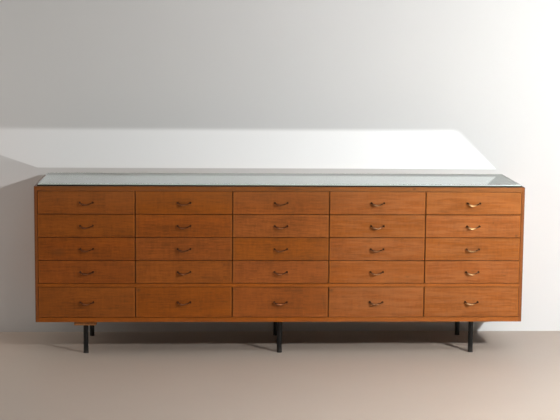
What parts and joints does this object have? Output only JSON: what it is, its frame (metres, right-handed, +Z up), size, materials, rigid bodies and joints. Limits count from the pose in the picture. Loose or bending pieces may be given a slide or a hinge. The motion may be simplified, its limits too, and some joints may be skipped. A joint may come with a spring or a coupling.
{
  "type": "counter chest",
  "caption": "Long counter chest: columns of flush veneered drawers above a deeper bottom row, brass bow pulls, a glass sheet on a black board, short black steel legs.",
  "frame": {"origin": "on the floor, under the middle of the whole chest with its pulls", "axes": "+X to the right along the front, +Y into the depth, +Z up; the front faces -Y"},
  "size_m": [2.8, 0.6252, 0.993],
  "materials": {
    "veneer": "satin teak veneer",
    "drawer_wood": "satin teak veneer",
    "case_wood": "plain waxed hardwood",
    "black_lacquer": "black lacquer",
    "plate_glass": "polished",
    "black_steel": "satin black",
    "aged_brass": "aged, rubbed bright"
  },
  "bodies": {
    "case": {"side_panels": "veneer", "top_panel": "veneer", "bottom_panel": "veneer", "middle_shelf": "veneer", "partitions_and_runners": "case_wood", "back_panel": "case_wood", "black_board": "black_lacquer", "glass_top": "plate_glass", "legs": "black_steel", "packing_board": "case_wood"},
    "body_c1r1": {"drawer_c1r1": "drawer_wood", "pull_c1r1": "aged_brass"},
    "body_c1r2": {"drawer_c1r2": "drawer_wood", "pull_c1r2": "aged_brass"},
    "body_c1r3": {"drawer_c1r3": "drawer_wood", "pull_c1r3": "aged_brass"},
    "body_c1r4": {"drawer_c1r4": "drawer_wood", "pull_c1r4": "aged_brass"},
    "body_c1r5": {"drawer_c1r5": "drawer_wood", "pull_c1r5": "aged_brass"},
    "body_c2r1": {"drawer_c2r1": "drawer_wood", "pull_c2r1": "aged_brass"},
    "body_c2r2": {"drawer_c2r2": "drawer_wood", "pull_c2r2": "aged_brass"},
    "body_c2r3": {"drawer_c2r3": "drawer_wood", "pull_c2r3": "aged_brass"},
    "body_c2r4": {"drawer_c2r4": "drawer_wood", "pull_c2r4": "aged_brass"},
    "body_c2r5": {"drawer_c2r5": "drawer_wood", "pull_c2r5": "aged_brass"},
    "body_c3r1": {"drawer_c3r1": "drawer_wood", "pull_c3r1": "aged_brass"},
    "body_c3r2": {"drawer_c3r2": "drawer_wood", "pull_c3r2": "aged_brass"},
    "body_c3r3": {"drawer_c3r3": "drawer_wood", "pull_c3r3": "aged_brass"},
    "body_c3r4": {"drawer_c3r4": "drawer_wood", "pull_c3r4": "aged_brass"},
    "body_c3r5": {"drawer_c3r5": "drawer_wood", "pull_c3r5": "aged_brass"},
    "body_c4r1": {"drawer_c4r1": "drawer_wood", "pull_c4r1": "aged_brass"},
    "body_c4r2": {"drawer_c4r2": "drawer_wood", "pull_c4r2": "aged_brass"},
    "body_c4r3": {"drawer_c4r3": "drawer_wood", "pull_c4r3": "aged_brass"},
    "body_c4r4": {"drawer_c4r4": "drawer_wood", "pull_c4r4": "aged_brass"},
    "body_c4r5": {"drawer_c4r5": "drawer_wood", "pull_c4r5": "aged_brass"},
    "body_c5r1": {"drawer_c5r1": "drawer_wood", "pull_c5r1": "aged_brass"},
    "body_c5r2": {"drawer_c5r2": "drawer_wood", "pull_c5r2": "aged_brass"},
    "body_c5r3": {"drawer_c5r3": "drawer_wood", "pull_c5r3": "aged_brass"},
    "body_c5r4": {"drawer_c5r4": "drawer_wood", "pull_c5r4": "aged_brass"},
    "body_c5r5": {"drawer_c5r5": "drawer_wood", "pull_c5r5": "aged_brass"}
  },
  "joints": [
    {"name": "slide_c1r1", "type": "slide", "parent": "case", "child": "body_c1r1", "axis": [0, -1, 0], "range_m": [0, 0.4]},
    {"name": "slide_c1r2", "type": "slide", "parent": "case", "child": "body_c1r2", "axis": [0, -1, 0], "range_m": [0, 0.4]},
    {"name": "slide_c1r3", "type": "slide", "parent": "case", "child": "body_c1r3", "axis": [0, -1, 0], "range_m": [0, 0.4]},
    {"name": "slide_c1r4", "type": "slide", "parent": "case", "child": "body_c1r4", "axis": [0, -1, 0], "range_m": [0, 0.4]},
    {"name": "slide_c1r5", "type": "slide", "parent": "case", "child": "body_c1r5", "axis": [0, -1, 0], "range_m": [0, 0.4]},
    {"name": "slide_c2r1", "type": "slide", "parent": "case", "child": "body_c2r1", "axis": [0, -1, 0], "range_m": [0, 0.4]},
    {"name": "slide_c2r2", "type": "slide", "parent": "case", "child": "body_c2r2", "axis": [0, -1, 0], "range_m": [0, 0.4]},
    {"name": "slide_c2r3", "type": "slide", "parent": "case", "child": "body_c2r3", "axis": [0, -1, 0], "range_m": [0, 0.4]},
    {"name": "slide_c2r4", "type": "slide", "parent": "case", "child": "body_c2r4", "axis": [0, -1, 0], "range_m": [0, 0.4]},
    {"name": "slide_c2r5", "type": "slide", "parent": "case", "child": "body_c2r5", "axis": [0, -1, 0], "range_m": [0, 0.4]},
    {"name": "slide_c3r1", "type": "slide", "parent": "case", "child": "body_c3r1", "axis": [0, -1, 0], "range_m": [0, 0.4]},
    {"name": "slide_c3r2", "type": "slide", "parent": "case", "child": "body_c3r2", "axis": [0, -1, 0], "range_m": [0, 0.4]},
    {"name": "slide_c3r3", "type": "slide", "parent": "case", "child": "body_c3r3", "axis": [0, -1, 0], "range_m": [0, 0.4]},
    {"name": "slide_c3r4", "type": "slide", "parent": "case", "child": "body_c3r4", "axis": [0, -1, 0], "range_m": [0, 0.4]},
    {"name": "slide_c3r5", "type": "slide", "parent": "case", "child": "body_c3r5", "axis": [0, -1, 0], "range_m": [0, 0.4]},
    {"name": "slide_c4r1", "type": "slide", "parent": "case", "child": "body_c4r1", "axis": [0, -1, 0], "range_m": [0, 0.4]},
    {"name": "slide_c4r2", "type": "slide", "parent": "case", "child": "body_c4r2", "axis": [0, -1, 0], "range_m": [0, 0.4]},
    {"name": "slide_c4r3", "type": "slide", "parent": "case", "child": "body_c4r3", "axis": [0, -1, 0], "range_m": [0, 0.4]},
    {"name": "slide_c4r4", "type": "slide", "parent": "case", "child": "body_c4r4", "axis": [0, -1, 0], "range_m": [0, 0.4]},
    {"name": "slide_c4r5", "type": "slide", "parent": "case", "child": "body_c4r5", "axis": [0, -1, 0], "range_m": [0, 0.4]},
    {"name": "slide_c5r1", "type": "slide", "parent": "case", "child": "body_c5r1", "axis": [0, -1, 0], "range_m": [0, 0.4]},
    {"name": "slide_c5r2", "type": "slide", "parent": "case", "child": "body_c5r2", "axis": [0, -1, 0], "range_m": [0, 0.4]},
    {"name": "slide_c5r3", "type": "slide", "parent": "case", "child": "body_c5r3", "axis": [0, -1, 0], "range_m": [0, 0.4]},
    {"name": "slide_c5r4", "type": "slide", "parent": "case", "child": "body_c5r4", "axis": [0, -1, 0], "range_m": [0, 0.4]},
    {"name": "slide_c5r5", "type": "slide", "parent": "case", "child": "body_c5r5", "axis": [0, -1, 0], "range_m": [0, 0.4]}
  ]
}
